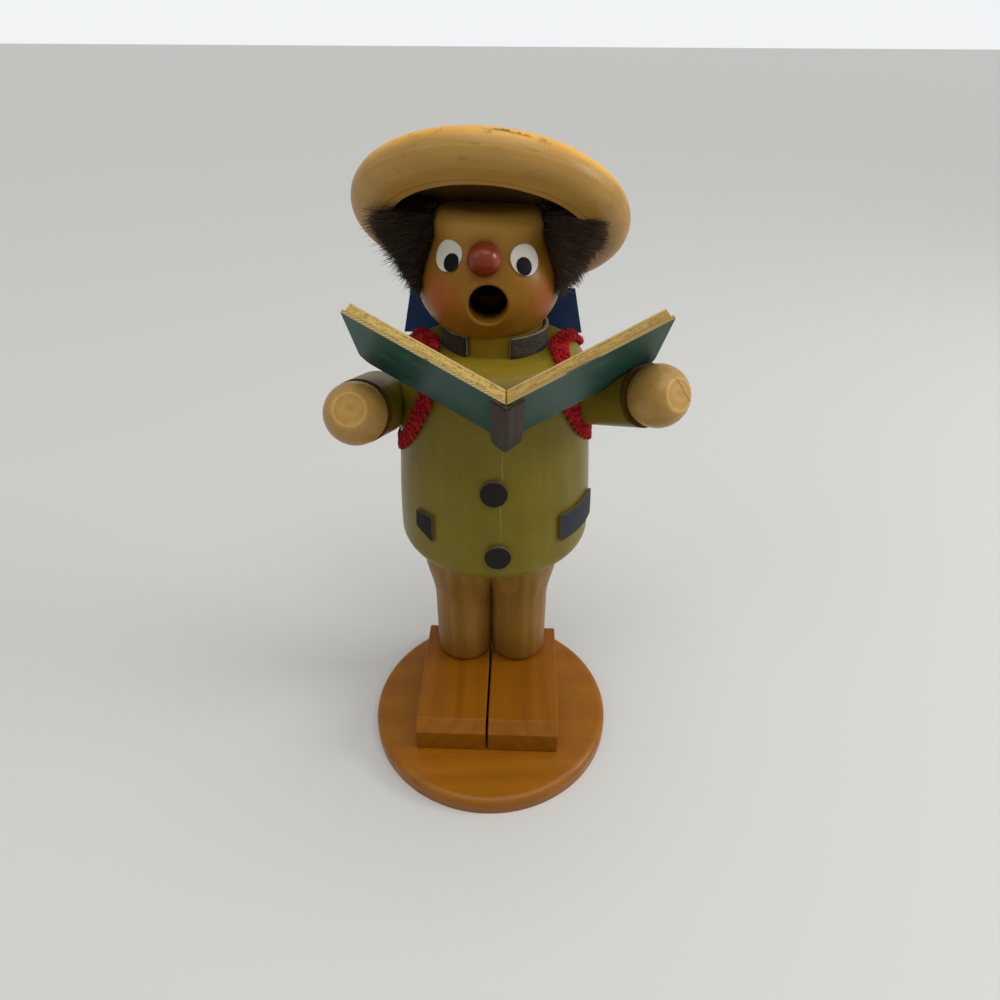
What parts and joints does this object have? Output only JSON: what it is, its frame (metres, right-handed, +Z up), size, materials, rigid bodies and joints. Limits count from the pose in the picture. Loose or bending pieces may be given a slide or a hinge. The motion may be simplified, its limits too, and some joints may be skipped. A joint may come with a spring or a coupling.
{
  "type": "incense smoker",
  "caption": "Turned wooden hiker on a round base who reads an open book; the hollow jacket lifts off a waist plate to set an incense cone, and smoke leaves by the mouth.",
  "frame": {"origin": "centre of the base disc's underside, where it stands on a table", "axes": "+Z up, the figure faces -Y, +X is to the right of somebody who looks at its face"},
  "size_m": [0.0949, 0.1055, 0.1965],
  "materials": {
    "orange_stain": "satin stain",
    "brown_stain": "satin stain",
    "plain_wood": "raw",
    "dish_metal": "pressed sheet",
    "nail_metal": "plain",
    "green_stain": "satin stain",
    "suede": "suede",
    "dark_leather": "smooth",
    "face_lacquer": "gloss lacquer",
    "hat_lacquer": "gloss lacquer",
    "hand_lacquer": "gloss lacquer",
    "red_lacquer": "gloss lacquer",
    "eye_white": "flat paint",
    "eye_black": "flat paint",
    "brown_fur": "fur",
    "teal_paint": "satin paint",
    "page_paint": "rough cut edge",
    "red_braid": "fuzzy braid",
    "blue_paint": "satin paint",
    "pack_stain": "satin stain"
  },
  "bodies": {
    "stand": {"base_disc": "orange_stain", "left_shoe": "orange_stain", "right_shoe": "orange_stain", "left_leg": "brown_stain", "right_leg": "brown_stain", "left_leg_dowel": "plain_wood", "right_leg_dowel": "plain_wood", "left_hip_dowel": "plain_wood", "right_hip_dowel": "plain_wood", "waist_plate": "plain_wood", "incense_dish": "dish_metal", "dish_nail": "nail_metal"},
    "figure": {"hat_dowel": "plain_wood", "left_arm_dowel": "plain_wood", "right_arm_dowel": "plain_wood", "rucksack_dowels": "plain_wood", "jacket": "green_stain", "left_sleeve": "green_stain", "right_sleeve": "green_stain", "collar": "suede", "book_spine": "suede", "upper_button": "dark_leather", "lower_button": "dark_leather", "left_pocket_flap": "dark_leather", "right_pocket_flap": "dark_leather", "head": "face_lacquer", "hat": "hat_lacquer", "left_hand": "hand_lacquer", "right_hand": "hand_lacquer", "nose": "red_lacquer", "left_eye": "eye_white", "right_eye": "eye_white", "left_pupil": "eye_black", "right_pupil": "eye_black", "fur_hair": "brown_fur", "left_book_cover": "teal_paint", "right_book_cover": "teal_paint", "left_pages": "page_paint", "right_pages": "page_paint", "left_strap": "red_braid", "right_strap": "red_braid", "rucksack_lid": "blue_paint", "rucksack": "pack_stain"}
  },
  "joints": [
    {"name": "body_lift", "type": "slide", "parent": "stand", "child": "figure", "axis": [0, 0, 1], "range_m": [0, 0.06]}
  ]
}
